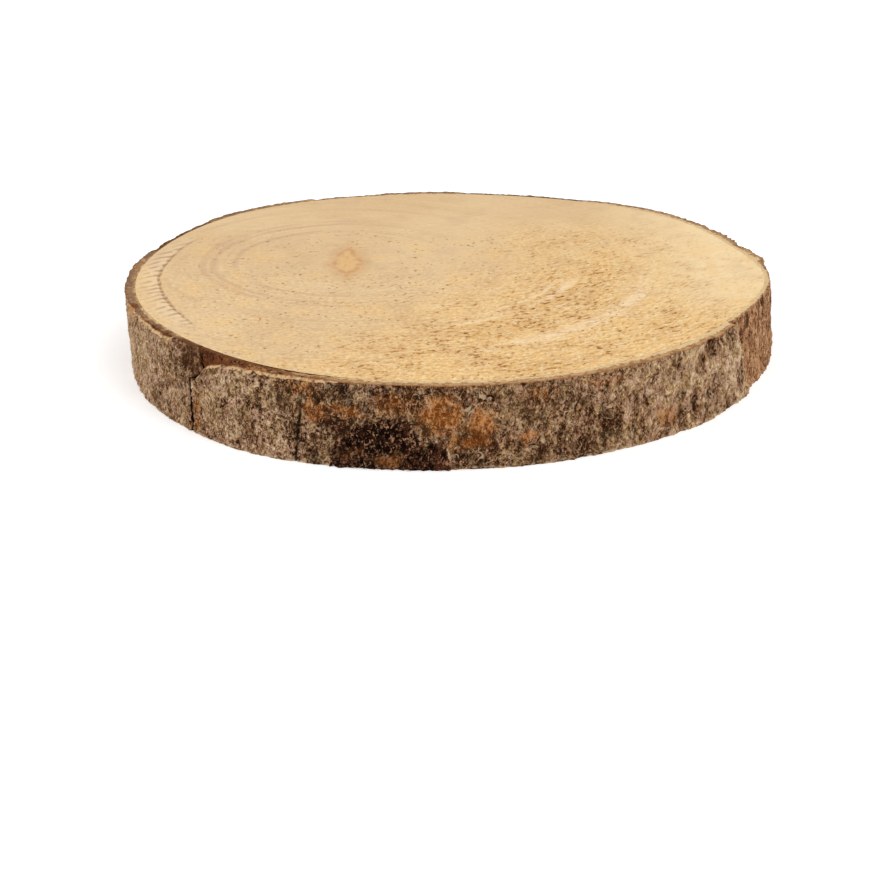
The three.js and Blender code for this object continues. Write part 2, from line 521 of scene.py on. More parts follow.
# %% Growth rings of the sawn face
WOOD_GREY = paint(225, 191, 145)
WOOD_CREAM = paint(233, 201, 155)
WOOD_YELLOW = paint(243, 198, 130)
WOOD_PALE = paint(255, 230, 183)
RING_SHADE = paint(204, 166, 132)
RING_PITCH = 5.5
RING_BEND = {"reach": 3.0, "pitch": 34}
# Distance from the pith, half width and strength of each band
RING_BANDS = [(44.5, 2.4, 0.6), (48.5, 1.2, 0.25), (53, 2.4, 0.6), (57, 2.4, 0.5)]
SAW_SLOPE = 0.1
SAW_BOW = 0.0025  # how fast the slope of the saw's arcs grows towards the right
PALE_SIDE = {"right": (95, 150), "back": (-85, -25)}  # where the wood turns pale, seen from the pith


def sawn_face(place):
    """The wires from which the finish of the sawn face is worked out."""
    flat = place.vector("SUBTRACT", (*PITH, 0)).vector("MULTIPLY", (1, 1, 0))
    right, back = flat.part("X"), flat.part("Y")
    length = flat.vector("LENGTH", output="Value")
    arc = SAW_SLOPE * right + SAW_BOW * right * right
    saw = place.node("ShaderNodeCombineXYZ", {}, {0: right, 1: back - arc})
    far = right.rise(*PALE_SIDE["right"]) * back.rise(*PALE_SIDE["back"])
    rough = attribute(place, "rough") * (1 - 0.6 * far)
    ring = length + RING_BEND["reach"] * (cloud(place, RING_BEND["pitch"], seed=1) - 0.5)
    return SimpleNamespace(place=place, flat=flat, right=right, back=back, length=length, ring=ring,
                           saw=saw, far=far, rough=rough)


def drawn_rings(face, rings):
    """A mask of rings, each given by its distance from the pith, half its width and its strength."""
    drawn = 0.0 * face.ring
    for distance, half_width, strength in rings:
        drawn = drawn + strength * abs(face.ring - distance).rise(half_width, 0)
    return drawn


def growth_rings(face):
    """The colour of the wood as it grew."""
    colour = cloud(face.place, 42, seed=2, detail=2).rise(0.3, 0.7).mix(WOOD_GREY, WOOD_CREAM)
    colour = (0.85 * face.rough).mix(colour, WOOD_YELLOW)
    colour = (0.7 * face.far).mix(colour, WOOD_PALE)
    inputs = {"W": face.ring * (1 / RING_PITCH), "Scale": 1.0, "Detail": 2.0}
    bands = face.place.node("ShaderNodeTexNoise", {"noise_dimensions": "1D"}, inputs, output="Fac")
    shown = cloud(face.place, 30, seed=3).rise(0.3, 0.6) * (1 - face.rough) * face.right.rise(70, 10)
    colour = (0.28 * bands.rise(0.5, 0.7) * shown).mix(colour, RING_SHADE)
    mottle = cloud(face.place, (10, 14, 1), seed=27, detail=1)
    colour = (0.2 * mottle.rise(0.5, 0.68)).mix(colour, RING_SHADE)
    colour = (0.35 * mottle.rise(0.5, 0.32) * face.back.rise(50, 5)).mix(colour, WOOD_YELLOW)
    soft = face.right.rise(40, -20) * (0.3 + 0.7 * cloud(face.place, 16, seed=20).rise(0.3, 0.5))
    return (drawn_rings(face, RING_BANDS) * soft).mix(colour, RING_SHADE)


print(f"{len(RING_BANDS)} soft grey bands round the pith")

# %% [markdown]
# On the right a few rings stand out as pale streaks. They are drawn like the bands, but only within
# a sector seen from the pith, and noise drawn out along the saw's arcs frays them.

# %% Pale streaks of the sawn face
STREAK_PALE = paint(253, 226, 190)
# Distance from the pith, half width and strength of each streak
STREAKS = [(67, 1.4, 0.45), (84.5, 1.8, 0.7), (90, 2.8, 1), (99, 1.4, 0.5), (120, 7, 0.8)]
STREAK_SECTOR = (-1.25, -0.95, -0.4, -0.12)  # headings from the pith between which they show, in radians


def pale_streaks(face):
    """The mask of the pale streaks, which fade out at their ends."""
    start, full, fading, end = STREAK_SECTOR
    heading = face.place.math("ARCTAN2", face.back, face.right)
    shown = heading.rise(start, full) * heading.rise(end, fading)
    broken = 0.25 + 0.75 * cloud(face.saw, (9, 2.4, 1), seed=12, detail=3).rise(0.38, 0.6)
    faint = cloud(face.place, 9, seed=24, detail=1).rise(0.2, 0.55)
    return drawn_rings(face, STREAKS) * shown * broken * faint


print(f"{len(STREAKS)} pale streaks on the right")

# %% [markdown]
# Over the rings lies what the saw did: faint scores along its arcs, brown dashes where fibres were
# torn out and pale ones where they stand up, which are painted highlights. They are dense only on the
# right and the front, where the wood was torn, and crowd outside the brightest pale streak. Elsewhere
# the face is smooth, with dark pores that gather along the rings.

# %% Saw marks of the sawn face
GRAIN_BROWN = paint(206, 160, 102)
DASH_BROWN = paint(150, 88, 34)
SMEAR_BROWN = paint(214, 162, 96)
# pale of the grain, and the painted highlight of the fibres that stand up
FIBRE_PALE_AND_HIGHLIGHT = paint(255, 231, 183)
BROWN_BAND = (91.5, 94, 100, 112)  # distances from the pith between which more fibres are torn out
FINE_GRAIN = 1.3  # pitch of the grain across the rings
PORE_ROWS = 6  # pitch of the rows in which pores gather
GRAIN_TURNS = 5.0  # pitches of the ring grain per radian round the pith


def ring_grain(face, pitch):
    """Noise drawn out along the growth rings."""
    height = face.place.node("ShaderNodeCombineXYZ", {}, {2: face.ring * (1 / pitch)})
    spot = face.flat.vector("NORMALIZE").vector("MULTIPLY_ADD", (GRAIN_TURNS,) * 3, height)
    return cloud(spot, 1, detail=2)


def shade(colour, grain, strength):
    """The colour made browner where the grain is high, and paler where it is low."""
    colour = (strength * grain.rise(0.5, 0.72)).mix(colour, GRAIN_BROWN)
    return (strength * grain.rise(0.5, 0.28)).mix(colour, FIBRE_PALE_AND_HIGHLIGHT)


def opened_grain(face, colour):
    """The colour with the grain and the scores that the saw opened, and their relief."""
    colour = shade(colour, ring_grain(face, FINE_GRAIN), (0.1 + 0.3 * face.rough) * (1 - face.far))
    score = cloud(face.saw, (18, 1.8, 1), seed=4, detail=2)
    colour = shade(colour, score, (0.1 + 0.36 * face.rough) * (1 - 0.5 * face.far))
    fleck = cloud(face.saw, (1.7, 1.9, 1), seed=11, detail=2, roughness=0.6)
    grained = 0.14 + 0.28 * face.back.rise(20, -40) + 0.38 * face.rough
    colour = shade(colour, fleck, grained * (1 - 0.6 * face.far))
    return colour, 0.15 * score + 0.2 * fleck


def torn_fibres(face, colour, streaks):
    """The colour with the fibres that were torn out, and the painted highlight of those that stand up, and
    their relief.
    """
    low, full, fading, gone = BROWN_BAND
    band = face.ring.rise(low, full) * face.ring.rise(gone, fading) * face.back.rise(0, -30)
    clusters = cloud(face.place, 14, seed=5, detail=2).rise(0.46, 0.64)
    dense = face.rough * (0.15 + 0.9 * clusters + 0.6 * band) * (1 - streaks)
    colour = (0.3 * dense).mix(colour, GRAIN_BROWN)
    torn = cloud(face.saw, (3.0, 2.4, 1), seed=6, detail=2, roughness=0.6)
    shown = dense * (1 - 0.4 * face.far)
    colour = (0.6 * torn.rise(0.46, 0.6) * shown).mix(colour, SMEAR_BROWN)
    dash = torn.rise(0.54, 0.66) * shown
    colour = (0.95 * dash).mix(colour, DASH_BROWN)
    # painted highlight on the fibres that stand up
    fibre_highlight = cloud(face.saw, (2.8, 2.2, 1), seed=7, detail=1).rise(0.57, 0.7) * face.rough
    return (0.6 * fibre_highlight).mix(colour, FIBRE_PALE_AND_HIGHLIGHT), 0.2 * fibre_highlight - 0.12 * dash


def dark_pores(face, colour):
    """The colour with the pores on it, which leave out the pith and the smooth sides, and their relief."""
    gathered = ring_grain(face, PORE_ROWS).rise(0.42, 0.56) * face.right.rise(-90, -30)
    gathered = gathered * face.back.rise(58, 25) * (1 - 0.7 * face.far)
    pores = cloud(face.saw, (1.8, 2.2, 1), seed=13, detail=1).rise(0.6, 0.72) * gathered
    return (0.65 * pores * face.length.rise(12, 24)).mix(colour, DASH_BROWN), -0.15 * pores


def saw_marks(face, colour):
    """The colour with the saw's marks on it, and their relief."""
    colour, grain_relief = opened_grain(face, colour)
    streaks = pale_streaks(face)
    colour, fibre_relief = torn_fibres(face, streaks.mix(colour, STREAK_PALE), streaks)
    colour, pore_relief = dark_pores(face, colour)
    return colour, grain_relief + fibre_relief + pore_relief


print(f"more fibres torn out from {BROWN_BAND[0]} to {BROWN_BAND[-1]} mm from the pith")

# %% [markdown]
# Two marks are left. The pith is a small orange diamond with a darker border. Outside it the saw tore
# the loosened wood into a comb of short even lines, which a sine wave draws.

# %% Pith and check of the sawn face
PITH_ORANGE = paint(232, 188, 130)
PITH_EDGE = paint(206, 150, 98)
PITH_HALF = (5.4, 17.5)  # half its width and half its depth, in millimetres
# brown of the comb, and the painted shade in the open check
CHECK_BROWN_AND_SHADE = paint(158, 120, 86)
COMB_DIRECTION = 41
COMB_PITCH = 4.4
COMB_REACH = 11  # length of the comb's teeth


def pith_mark(face, colour):
    """The colour with the pith on it."""
    wide = abs(face.right + 2.2 * (cloud(face.place, 7, seed=8) - 0.5)) * (1 / PITH_HALF[0])
    deep = abs(face.back + 9 * (cloud(face.place, 9, seed=18) - 0.5)) * (1 / PITH_HALF[1])
    diamond = 0.5 * (wide + deep) + 0.5 * face.place.math("SQRT", wide * wide + deep * deep)
    colour = (0.35 * diamond.rise(2.2, 0.9)).mix(colour, PITH_EDGE)
    mottled = cloud(face.saw, (2.2, 5, 1), seed=26, detail=2).rise(0.5, 0.68)
    orange = (0.45 * mottled).mix(PITH_ORANGE, PITH_EDGE)
    colour = (0.85 * diamond.rise(1.05, 0.7)).mix(colour, orange)
    border = abs(diamond - 0.95).rise(0.26, 0.05) * cloud(face.place, 5, seed=14).rise(0.3, 0.6)
    return (0.6 * border).mix(colour, PITH_EDGE)


def open_check(face, colour):
    """The colour with the check, drawn as a line of painted shade, and its comb on it, and their relief."""
    check, checked = attribute(face.place, "check"), attribute(face.place, "checked")
    across = fitted(face.place, 1, COMB_DIRECTION, 0).part("Y")
    swayed = across + 5 * (cloud(face.place, 12, seed=10, detail=1) - 0.5)
    wave = face.place.math("SINE", swayed * (math.tau / COMB_PITCH))
    tooth = check.rise(-0.4, 0.5) * check.rise(COMB_REACH, 1) * checked
    comb = wave.rise(-0.1, 0.9) * tooth * cloud(face.place, 5, seed=17, detail=1).rise(0.32, 0.56)
    wavy = check + 1.8 * (cloud(face.place, 4, seed=9, detail=1) - 0.5)
    # painted shade: a dark line along the open check
    check_shade = abs(wavy).rise(0.9, 0.2) * checked * (0.5 + 0.5 * wave.rise(-0.7, 0.5))
    colour = (0.4 * tooth).mix(colour, STREAK_PALE)
    colour = (0.6 * comb).mix(colour, CHECK_BROWN_AND_SHADE)
    return (0.75 * check_shade).mix(colour, CHECK_BROWN_AND_SHADE), -0.15 * comb - 0.3 * check_shade


print(f"comb of lines {COMB_PITCH} mm apart outside the check")

# %% [markdown]
# The layers are now put together. The wall of the wood, which only shows through the split and along
# the rim, is plain dark brown.

# %% Finish the sawn wood
WALL_BROWN = paint(70, 44, 26)
WALL_FROM = 0.9992  # share of the way from the pith at which the wall begins


def wood_finish():
    """The whole finish of the sawn wood."""
    material, place = new_material("sawn_wood")
    face = sawn_face(place)
    colour, relief = saw_marks(face, growth_rings(face))
    colour, check_relief = open_check(face, pith_mark(face, colour))
    colour = attribute(place, "ring").rise(WALL_FROM, 1.0).mix(colour, WALL_BROWN)
    close_material(material, colour, 0.8 + 0.1 * face.rough, relief + check_relief, shine=0.12)
    return material


finish_piece(wood, "sawn_wood", "wood_disc", wood_finish())

# %% [markdown]
# Bark is cork in plates and furrows. It grew as one skin round the wood, and when it dried it split
# once, from cut to cut. A flat strip is wrapped round the wood, from one side of the split to the
# other: its length goes round the trunk, and its width goes round the section of the bark, up the
# face, in over the rim, down the back and out again. Where its two edges meet they are merged.

# %% Lay out the strip of bark
FACE_ROWS = 58
RIM_ROWS = 5
BACK_ROWS = 1
BARK_COLUMNS = 1240
CORNER_ROWS = list(np.cumsum([0, FACE_ROWS, RIM_ROWS, BACK_ROWS, RIM_ROWS]))
BARK_LAYERS = ("sawn", "across", "above", "bare", "flaked", "burr", "rust", "crack", "lift", "tone",
               "lichen", "fibres", "ridged", "weathered")


def section_corners():
    """The points of the bark's section, as (share of its thickness, share of its height)."""
    corners = [Vector(corner) for corner in ((1, 0), (1, 1), (0, 1), (0, 0), (1, 0))]
    counts = (FACE_ROWS, RIM_ROWS, BACK_ROWS, RIM_ROWS)
    for start, end, rows in zip(corners, corners[1:], counts):
        for row in range(rows):
            yield start.lerp(end, row / rows)
    yield corners[-1]


def row_of(vertex):
    """The row of the strip that a vertex belongs to."""
    return round((vertex.co.y + 0.5) * CORNER_ROWS[-1])


SECTION = list(section_corners())
bark = bmesh.new()
bark_layer = {name: bark.verts.layers.float.new(name) for name in BARK_LAYERS}
bmesh.ops.create_grid(bark, x_segments=BARK_COLUMNS, y_segments=CORNER_ROWS[-1], size=0.5)
for edge in bark.edges:
    rows = {row_of(vertex) for vertex in edge.verts}
    edge.smooth = not (len(rows) == 1 and rows <= set(CORNER_ROWS))
print(f"strip of {BARK_COLUMNS} columns and {CORNER_ROWS[-1]} rows")

# %% [markdown]
# The large features of the bark are read off as angles round the trunk and heights. Each is stored as
# a smooth distance from its edge, which the finish turns into a crisp line. The cracks come first: the
# split with its zigzag, which the columns of the strip lean to follow, and a thin upright crack.

# %% Split and crack of the bark
# Height and angle of the corners of each
SPLIT = table((0, 222.3), (6, 222), (11.5, 221.5), (16, 221.4), (19.5, 220.8), (20.6, 222.4), (22.8, 223.8),
              (25, 223.2), (28, 222.7), (29.5, 222), (THICKNESS, 222))
CRACK = table((0, 244.7), (10, 244.9), (20, 245.3), (28.5, 245.6))
SPLIT_START = along(SPLIT, THICKNESS)
SPLIT_WIDTH = 0.9
SPLIT_TURN = math.degrees(SPLIT_WIDTH / wood_radius(SPLIT_START, THICKNESS))
SPLIT_RAGGED = 0.28
SPLIT_REACH = 0.1  # share of the way round over which the columns lean with the split
THIN_CRACK = 0.9  # its width
CRACK_CLOSES = (26, 30)  # the heights between which it ends
FAR = 9.0  # the longest distance from a feature that is kept


def lean_with_split(way, height):
    """How far a column leans to follow the split, in degrees, and its nearness to it, from 0 to 1."""
    near = 1 - ease(min(way, 1 - way), 0, SPLIT_REACH)
    ragged = SPLIT_RAGGED * ragged_noise(Vector((9 * round(way), 0, height / 3)))
    lean = along(SPLIT, height) - SPLIT_START + math.degrees(ragged / wood_radius(SPLIT_START, height))
    return lean * near, near


def from_crack(angle, turn, spot):
    """Distance from the split or from the thin crack, in millimetres."""
    wander = 0.6 * noise.noise(Vector((0, 0, spot.z / 4))) + 0.2 * noise.noise(Vector((3, 0, spot.z / 1.5)))
    closed = 0.15 * (1 + noise.noise(Vector((5, 0, spot.z / 3)))) + 3 * ease(spot.z, *CRACK_CLOSES)
    side = turn_from(angle, along(CRACK, spot.z) + wander)
    thin = max(abs(math.radians(side)) * radius_of(spot) - THIN_CRACK / 2, 0) + closed
    wide = math.radians(min(turn, 360 - turn) - SPLIT_TURN / 2) * radius_of(spot)
    return min(thin, wide, FAR)


print(f"split at {SPLIT_START:.0f} degrees, {SPLIT_WIDTH} mm wide")

# %% [markdown]
# In places the outer bark broke off below the cut, and from two patches it is gone over the whole
# height. Only the inner bark is left there. The edges are ragged, so noise is added to the distance
# from each.

# %% Broken edge and bare patches
# Angle and height of the corners of the broken edge, which lies above the cut where the bark is whole
BROKEN_EDGE = table(
    (0, 33), (58, 33), (66, 28.6), (84, 27.2), (90, 33), (138, 33), (141, 30.2), (160, 29.8), (168, 33),
    (190, 33), (196, 31), (203, 30.7), (208, 30.2), (214, 30.2), (217, 29.4), (219.5, 23.4), (223.8, 21.8),
    (225, 25.4), (227.4, 27.4), (231, 29.1), (238, 29.9), (250, 30.8), (255, 33), (360, 33))
# Angles at the upper cut, and by how many degrees a patch is narrower at its foot
BARE_PATCHES = [{"start": 332, "end": 372, "taper": 14}, {"start": 103, "end": 117, "taper": 4}]
EDGE_RAGGED = ((2.6, 0.4), (1.1, 0.15))  # pitch and height of the coarse and the fine teeth of the edge
PATCH_RAGGED = 2.4
FIELD_STEP = (19, 7)  # how far apart two seeds look into the same noise, in pitches


def field(spot, pitch, stretch=1.0, seed=0):
    """A spot's place in a noise field of that pitch, drawn out up the trunk by the stretch."""
    x = spot.x / pitch + FIELD_STEP[0] * seed
    z = spot.z / pitch / stretch + FIELD_STEP[1] * seed
    return Vector((x, spot.y / pitch, z))


def above_break(angle, spot):
    """How far above the broken edge of the outer bark a spot lies, in millimetres."""
    foot = Vector((spot.x, spot.y, 0))
    ragged = sum(tall * noise.noise(field(foot, pitch)) for pitch, tall in EDGE_RAGGED)
    return max(spot.z - along(BROKEN_EDGE, angle) - ragged, -FAR)


def inside_bare_patch(angle, spot):
    """How far inside a bare patch a spot lies, in millimetres along the trunk, or less than 0."""
    depths = [-FAR]
    for patch in BARE_PATCHES:
        middle = (patch["start"] + patch["end"]) / 2
        width = patch["end"] - patch["start"] - patch["taper"] * (1 - spot.z / THICKNESS)
        inside = math.radians(width / 2 - abs(turn_from(angle, middle))) * radius_of(spot)
        depths.append(inside + PATCH_RAGGED * ragged_noise(field(spot, 4, 1.5, seed=1)))
    return max(depths)


print(f"{len(BARE_PATCHES)} bare patches")

# %% [markdown]
# A dark crusted burr sits low on the front, with rusty patches round it. Rust and dark stains are
# soft ovals of a few millimetres, spread out by noise, and the burr lies below a bumpy line.

# %% Burr, rust and stains
# Angle and height of the corners of the burr's upper edge
BURR_TOP = table((249.5, -9), (250.6, 0), (250.9, 7), (252.2, 11.5), (253.3, 11), (254, 14.5), (255, 16.5),
                 (257, 17.5), (259, 18.6), (263, 18.6), (264, 15), (265.6, 9), (266.3, 8.5), (266.8, 10.5),
                 (268.2, 11.8), (269.2, 9.5), (269.9, 3), (270.4, -9))
# Angle and height of each oval, its reach in degrees and in millimetres, and its strength
RUST_PATCHES = [
    (268.7, 20, 3.6, 8, 1), (274.7, 17, 3, 6.5, 1), (273.5, 10.5, 3.6, 3, 0.8), (260.2, 3, 3, 3.4, 1),
    (223.4, 6, 0.9, 8, 0.25), (247.5, 19.5, 2.4, 3.5, 0.5), (253, 21, 3, 2.4, 0.6), (261, 24.5, 3, 3.4, 0.5),
    (245.8, 28, 1.6, 3, 0.4), (285, 27.5, 2, 2, 0.3), (283, 11, 1.8, 2, 0.4), (310, 8, 2, 3, 0.3),
    (297, 28, 2, 2, 0.4), (195.5, 30.5, 2.4, 3, 1), (255.5, 6.5, 1.2, 2, 0.4),
    (253.6, 3.5, 1.2, 2.4, 0.4), (20, 14, 5, 9, 0.4), (75, 9, 4, 6, 0.8), (150, 20, 5, 7, 0.6)]
STAINS = [
    (252.3, 28, 2.6, 4, 1), (289, 22, 2, 5, 0.7), (287, 7, 2, 5, 0.6), (254, 10, 2, 6, 0.6),
    (218, 26, 3, 5, 0.6), (40, 20, 4, 8, 0.7), (297, 8, 1.5, 5, 0.6), (180, 10, 4, 6, 0.5)]
OVAL_RAGGED = 0.5
BURR_RAGGED = 2.4


def inside_oval(ovals, angle, spot):
    """Strength of the ovals: theirs in the middle of one, 0 about its edge and less outside."""
    inside = max(strength * (1 - math.hypot(turn_from(angle, at) / wide, (spot.z - up) / tall))
                 for at, up, wide, tall, strength in ovals)
    return max(inside + OVAL_RAGGED * ragged_noise(field(spot, 3.4, seed=2), 0.6, 4), -1)


def inside_burr(angle, spot):
    """How far inside the crusted burr a spot lies, in millimetres, or less than 0."""
    ragged = BURR_RAGGED * ragged_noise(field(spot, 2.4, seed=3), 0.7, 4)
    return max(along(BURR_TOP, angle) - spot.z + ragged, -FAR)


print(f"{len(RUST_PATCHES)} rusty patches and {len(STAINS)} stains")

# %% [markdown]
# The relief of whole bark is a sum: ridges drawn out up the trunk, crusty knobs, and fine grain. The
# first two change round the trunk, from crusty on the left to ridged on the right. Where the outer
# bark is gone, the inner bark shows as torn upright shreds, and the burr is all crumbs.

# %% Relief of the bark
# Angle and depth in millimetres
RIDGE_DEPTH = table((0, 0.9), (20, 1.3), (60, 0.8), (150, 0.8), (185, 0.7), (222, 0.4), (250, 0.4),
                    (290, 0.5), (305, 0.9), (318, 1.3), (332, 1.4), (360, 0.9))
KNOB_DEPTH = table((0, 0.6), (12, 1), (16, 2.4), (32, 2.2), (45, 1), (60, 0.6), (120, 0.6), (185, 0.5),
                   (222, 0.6), (250, 0.6), (295, 0.7), (320, 0.5), (360, 0.6))
GRAIN_DEPTH = 0.4


def ridges(spot):
    """Ridges drawn out up the trunk."""
    coarse = abs(noise.noise(field(spot, 7, 3.0, seed=4)))
    fine = abs(noise.noise(field(spot, 3.4, 2.0, seed=5)))
    return 0.55 - 1.6 * coarse - 0.7 * fine


def knobs(spot):
    """Round knobs, each highest in its middle."""
    return 0.45 - noise.voronoi(field(spot, 2.1, 1.2, seed=6))[0][0]


def grain(spot):
    """Fine grain all over."""
    return ragged_noise(field(spot, 1.3, 1.3, seed=7), 0.7)


def shreds(spot):
    """Upright shreds of the torn inner bark."""
    strand = noise.noise(field(spot, 2.2, 3.0, seed=8))
    return strand + 0.6 * noise.noise(field(spot, 1.1, 2.5, seed=9))


def crumbs(spot):
    """Lumps of the burr's crust."""
    lump = 0.5 - noise.voronoi(field(spot, 2.6, 1.0, seed=10))[0][0]
    return lump + 0.6 * ragged_noise(field(spot, 1.8, seed=11), 0.6)


def bark_relief(angle, spot):
    """Height of whole bark's face above its smooth middle, in millimetres."""
    ridge = along(RIDGE_DEPTH, angle) * ridges(spot)
    return ridge + along(KNOB_DEPTH, angle) * knobs(spot) + GRAIN_DEPTH * grain(spot)


print(f"ridges up to {RIDGE_DEPTH[1].max()} mm deep")

# %% [markdown]
# Relief and features meet in the thickness of the bark. Whole bark is thin on one side of the trunk
# and thick on the other. Rust lies a little deeper, the burr stands out, the inner bark is thin, and
# at the front left the dry bark has pulled away from the wood.

# %% Thickness of the bark
BARK_THIN = 3.0
BARK_THICK = 5.2
BARK_THICKEST_AT = 300
INNER_BARK = 1.7
INNER_FOOT = 1.2  # how much thicker the inner bark of a bare patch is at its foot
SHRED_DEPTH = 0.9
FLAKED_BARK = 2.3  # what is left beside the split, where only some layers came off
FLAKED_FROM = (214, 217)  # the angles between which that sets in
FLAKED_TO = 226
THINNEST_SKIN = 0.9
FIT_GAP = 0.3  # between the wood and the bark of the CAD model, so that both faces lie alike
BACK_GAP = 0.04  # what is left of it here
STANDOFF = {"at": 243, "spread": 9, "gap": 1.0}
BREAK_SLOPE = 1.7  # height over which the broken outer bark thins out
PATCH_SLOPE = 1.2  # the same at the edge of a bare patch
RUST_SINK = 0.4
BURR_RISE = 0.8
BURR_CRUMBS = 1.8
CRACK_DEPTH = 1.0
CRACK_WIDTH = 0.45


def features_at(angle, turn, way, spot):
    """What the large features do at a spot: distances inside them, and shares from 0 to 1."""
    above, bare = above_break(angle, spot), inside_bare_patch(angle, spot)
    left_of_split = ease(angle, *FLAKED_FROM) * (way > 0.5) * (angle < FLAKED_TO)
    return SimpleNamespace(
        above=above, bare=bare, left_of_split=left_of_split,
        flaked=ease(above, -0.3, 0.3) * left_of_split,
        inner=max(ease(above, -0.1, BREAK_SLOPE), ease(bare, -0.1, PATCH_SLOPE)),
        burr=inside_burr(angle, spot), rust=inside_oval(RUST_PATCHES, angle, spot),
        stain=ease(inside_oval(STAINS, angle, spot), -0.2, 0.9), crack=from_crack(angle, turn, spot))


def depth_and_lift(angle, share, spot, here):
    """Thickness of the bark at a spot, and the height of its relief alone."""
    relief, torn, crust = bark_relief(angle, spot), shreds(spot), crumbs(spot)
    in_burr = ease(here.burr, -0.5, 1.5)
    lift = lerp(lerp(relief, torn, here.inner * (1 - here.flaked)), crust, in_burr)
    thickness = lerp(BARK_THIN, BARK_THICK, (1 + math.cos(math.radians(angle - BARK_THICKEST_AT))) / 2)
    whole = thickness + relief - RUST_SINK * ease(here.rust, -0.1, 0.3)
    whole += in_burr * (BURR_RISE + BURR_CRUMBS * crust)
    foot = INNER_FOOT * (1 - share) * ease(here.bare, 0, 3)
    stripped = lerp(INNER_BARK + foot + SHRED_DEPTH * torn, FLAKED_BARK + relief, here.flaked)
    crack = CRACK_DEPTH * math.exp(-((here.crack / CRACK_WIDTH) ** 2))
    return lerp(whole, stripped, here.inner) - crack, lift


def gap_behind(angle, wall, height):
    """Gap between the wood and the back of the bark, wider where the dry bark pulled away."""
    standoff = math.exp(-((turn_from(angle, STANDOFF["at"]) / STANDOFF["spread"]) ** 2))
    pulled = STANDOFF["gap"] * standoff * (1 + 0.8 * noise.noise(field(polar(angle, wall, 0), 3, seed=12)))
    return BACK_GAP + pulled * height / THICKNESS


print(f"bark {BARK_THIN} to {BARK_THICK} mm thick")

# %% [markdown]
# The bark doesn't look the same all round. How light it is, how much lichen and how many loose fibres
# it has, how ridged and how weathered it is, all change slowly from side to side, so each of these is
# a short table of angles and values. So is the share of its thickness that is as pale as the wood.

# %% Bark from side to side
TONE = table((0, 0), (180, 0.24), (207, 0.24), (213, 0.08), (221, 0.04), (226, 0.08), (240, 0.04),
             (246, -0.26), (256, -0.33), (264, -0.16), (268, -0.22), (276, -0.22), (281, -0.12),
             (298, -0.07), (312, 0.15), (332, 0.18), (345, 0), (360, 0))
STAIN_SHADE = 0.26
FLAKED_SHADE = 0.25
PALE_RIM = table((0, 0.8), (12, 0.7), (20, 0.5), (60, 0.5), (100, 0.3), (140, 0.1), (190, 0.1),
                 (202, 0.4), (216, 0.3), (222, 0), (250, 0.25), (260, 0.45), (300, 0.45), (330, 0.6),
                 (360, 0.8))
SIDES = {
    "lichen": table((0, 0.4), (160, 0.4), (190, 0.7), (222, 0.7), (230, 1), (243, 0.9), (252, 0.4),
                    (280, 0.3), (300, 0.4), (330, 0.6), (360, 0.4)),
    "fibres": table((0, 0.3), (200, 0.2), (255, 0.3), (278, 0.9), (300, 0.8), (315, 0.5), (335, 0.3),
                    (360, 0.3)),
    "ridged": table((0, 0.7), (150, 0.6), (190, 0.45), (222, 0.2), (250, 0), (270, 0.2), (282, 0.6),
                    (300, 0.8), (332, 1.1), (360, 0.7)),
    "weathered": table((0, 0.1), (25, 0.5), (60, 0.9), (190, 1), (206, 0.8), (225, 0.4), (240, 0.1),
                       (330, 0), (345, 0), (360, 0.1)),
}
print(f"bark lightest by {TONE[1].max()} and darkest by {TONE[1].min()}")

# %% [markdown]
# Now each vertex of the strip is sent to its place. Near the split the columns lean to follow its
# zigzag. The vertex also keeps what the finish needs to know: its distance from each feature, how
# high it stands, and what the bark is like on its side of the trunk.

# %% Wrap the strip round the wood
RIM_SCORE = 0.12
RIM_PITCH = 1.5
# the black of the split is painted shade
NOTCH = (21, 24)  # the heights between which the black of the split ends, below the flaked bark


def shape_vertex(vertex):
    """Moves a vertex of the flat strip to its place on the trunk."""
    way, row = vertex.co.x + 0.5, row_of(vertex)
    across, share = SECTION[row]
    height = share * THICKNESS
    turn = lerp(SPLIT_TURN / 2, 360 - SPLIT_TURN / 2, way)
    lean, near_split = lean_with_split(way, height)
    angle = (SPLIT_START + turn + lean) % 360
    wall = wood_radius(angle, height)
    spot = polar(angle, wall, height)

    here = features_at(angle, turn, way, spot)
    depth, lift = depth_and_lift(angle, share, spot, here)
    back = gap_behind(angle, wall, height)
    face = max(FIT_GAP + max(depth, THINNEST_SKIN), back + THINNEST_SKIN)
    on_cut = share in (0, 1)
    saw = RIM_SCORE * (1 + noise.noise(field(spot, RIM_PITCH) + Vector((0, 0, 3 * across)))) * on_cut
    vertex.co = polar(angle, wall + lerp(back, face, across), height + (saw if height < 1 else -saw))

    pale = along(PALE_RIM, angle)
    values = {
        "sawn": FACE_ROWS <= row <= FACE_ROWS + RIM_ROWS or (share == 0 and across < 1),
        "across": (across - pale) / (1 - pale),
        "above": lerp(here.above, -FAR, here.left_of_split),
        "crack": max(here.crack, ease(height, *NOTCH) * near_split),
        "tone": along(TONE, angle) - STAIN_SHADE * here.stain - FLAKED_SHADE * here.flaked,
        "lift": lift,
    }
    values.update({name: getattr(here, name) for name in ("bare", "flaked", "burr", "rust")})
    values.update({name: along(corners, angle) for name, corners in SIDES.items()})
    for name, value in values.items():
        vertex[bark_layer[name]] = value


for vertex in bark.verts:
    shape_vertex(vertex)
bmesh.ops.remove_doubles(bark, verts=bark.verts, dist=0.001)
ends = bmesh.ops.holes_fill(bark, edges=[edge for edge in bark.edges if edge.is_boundary])["faces"]
bmesh.ops.triangulate(bark, faces=ends)
bmesh.ops.recalc_face_normals(bark, faces=bark.faces)
open_edges = sum(not edge.is_manifold for edge in bark.edges)
print(f"bark {max(radius_of(v.co) for v in bark.verts):.1f} mm at its widest, {open_edges} open edges")
